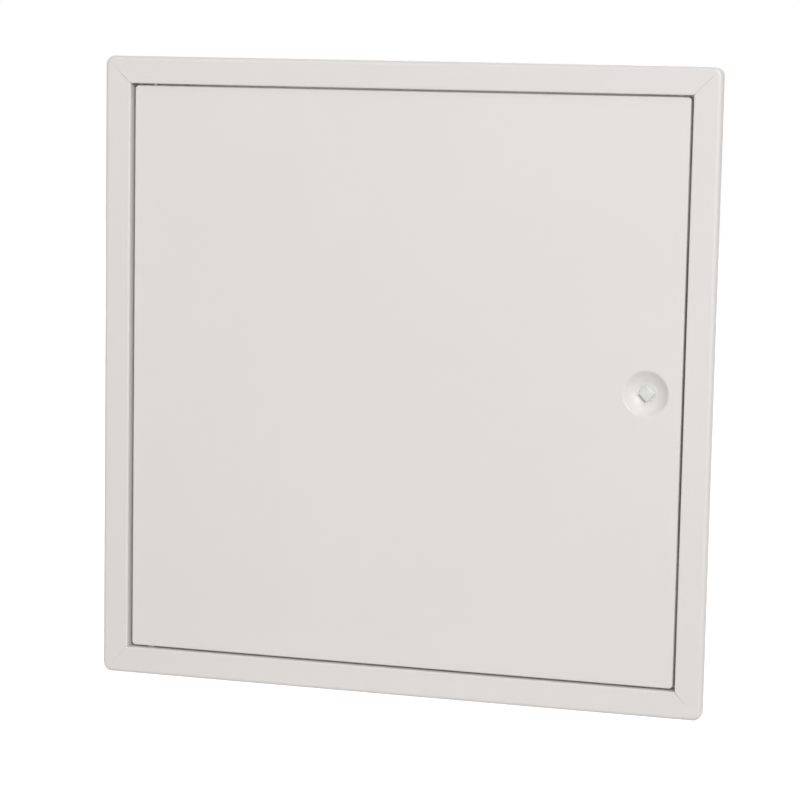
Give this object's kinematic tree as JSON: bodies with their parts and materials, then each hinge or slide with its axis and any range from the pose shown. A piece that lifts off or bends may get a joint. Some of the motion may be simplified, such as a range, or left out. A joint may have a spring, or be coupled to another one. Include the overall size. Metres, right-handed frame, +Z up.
{
  "type": "access panel",
  "caption": "Square access panel for a ceiling or wall: mitred steel frame, hinged tray door with a lift-out spring pivot, and a square-drive cam lock in a pressed dish.",
  "frame": {"origin": "middle of the panel on the wall plane, where the frame's outer lip meets the wall or ceiling", "axes": "+X to the lock side seen from the front, +Y into the wall, +Z up as in the picture"},
  "size_m": [0.44, 0.0385, 0.44],
  "materials": {
    "white_powder_coat": "satin powder coat",
    "white_lock_paint": "satin powder coat",
    "zinc_steel": "bright zinc plate",
    "spring_steel": "bright wire",
    "rivet_aluminium": "bright",
    "dark_nylon": "matt",
    "black_rubber": "matt"
  },
  "bodies": {
    "frame": {"frame_top_rail": "white_powder_coat", "frame_bottom_rail": "white_powder_coat", "frame_hinge_rail": "white_powder_coat", "frame_lock_rail": "white_powder_coat", "corner_cleats": "zinc_steel", "corner_rivets": "rivet_aluminium", "stop_angle": "zinc_steel", "stop_rivets": "rivet_aluminium", "stop_buffers": "black_rubber", "upper_pivot_bush": "dark_nylon", "lower_pivot_pin": "zinc_steel"},
    "door": {"door_panel": "white_powder_coat", "bolt_bracket": "zinc_steel", "lower_bracket": "zinc_steel", "lower_pivot_bush": "dark_nylon", "lock_bush": "zinc_steel", "bolt_spring": "spring_steel"},
    "bolt": {"pivot_bolt": "zinc_steel", "bolt_clip": "spring_steel"},
    "lock": {"lock_spindle": "white_lock_paint", "lock_washer": "spring_steel", "lock_cam": "zinc_steel", "cam_washer": "zinc_steel", "cam_nut": "zinc_steel"}
  },
  "joints": [
    {"name": "door_hinge", "type": "hinge", "parent": "frame", "child": "door", "pos_m": [-0.1858, 0.004, 0], "axis": [0, 0, -1], "range_deg": [0, 110]},
    {"name": "lock_turn", "type": "hinge", "parent": "door", "child": "lock", "pos_m": [0.174, 0, 0.001], "axis": [0, 1, 0], "range_deg": [0, 90]},
    {"name": "bolt_pull", "type": "slide", "parent": "door", "child": "bolt", "axis": [0, 0, -1], "range_m": [0, 0.008], "stiffness_N_per_m": 2600, "springref_m": -0.004, "deforming": ["bolt_spring"]}
  ]
}
